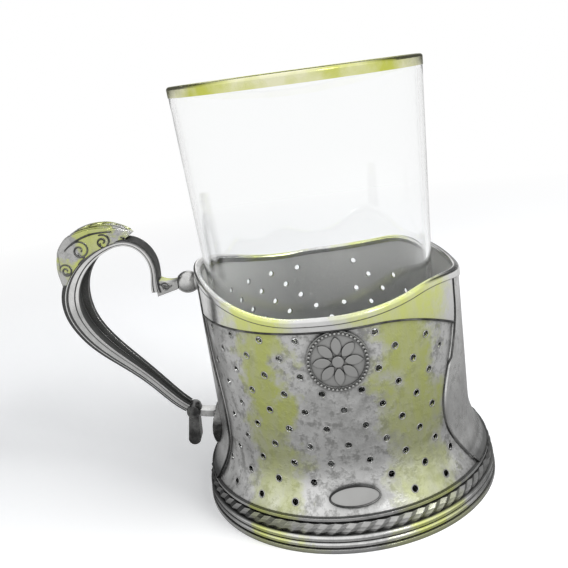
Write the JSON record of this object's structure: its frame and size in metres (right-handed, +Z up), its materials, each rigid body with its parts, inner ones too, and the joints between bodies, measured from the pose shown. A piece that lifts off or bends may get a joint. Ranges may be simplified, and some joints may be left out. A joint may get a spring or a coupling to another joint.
{
  "type": "tea glass holder",
  "caption": "Pierced metal holder with a flared foot and an arched strap handle, carrying a tapered clear tea glass with a gilt rim.",
  "frame": {"origin": "on the axis of the sleeve, in the plane that the foot stands on", "axes": "+Z up along the sleeve's axis, -Y toward the front with its rosette, -X toward the handle"},
  "size_m": [0.1215, 0.0864, 0.1218],
  "materials": {
    "polished_silver": "polished silver plate with light wear",
    "oxidised_silver": "silver plate, blackened in the recesses",
    "clear_glass": "clear, polished",
    "gilding": "fired gilding, polished"
  },
  "bodies": {
    "holder": {"rim_bead": "polished_silver", "front_collar": "polished_silver", "back_collar": "polished_silver", "foot_ring": "polished_silver", "base_ring": "polished_silver", "handle_strap": "polished_silver", "thumb_rest": "polished_silver", "rim_lug": "polished_silver", "scroll_leaf": "polished_silver", "lower_link": "polished_silver", "tail_drop": "polished_silver", "seat_plate": "polished_silver", "front_panel": "oxidised_silver", "back_panel": "oxidised_silver", "far_side_plate": "oxidised_silver", "handle_side_plate": "oxidised_silver", "foot_rope": "oxidised_silver", "front_medallion": "oxidised_silver", "back_medallion": "oxidised_silver", "front_oval": "oxidised_silver", "back_oval": "oxidised_silver", "lower_knuckle": "oxidised_silver", "lower_leaf": "oxidised_silver"},
    "glass": {"tea_glass": "clear_glass", "gilt_band": "gilding"}
  },
  "joints": [
    {"name": "glass_lift", "type": "slide", "parent": "holder", "child": "glass", "axis": [0, 0, 1], "range_m": [0, 0.08]}
  ]
}
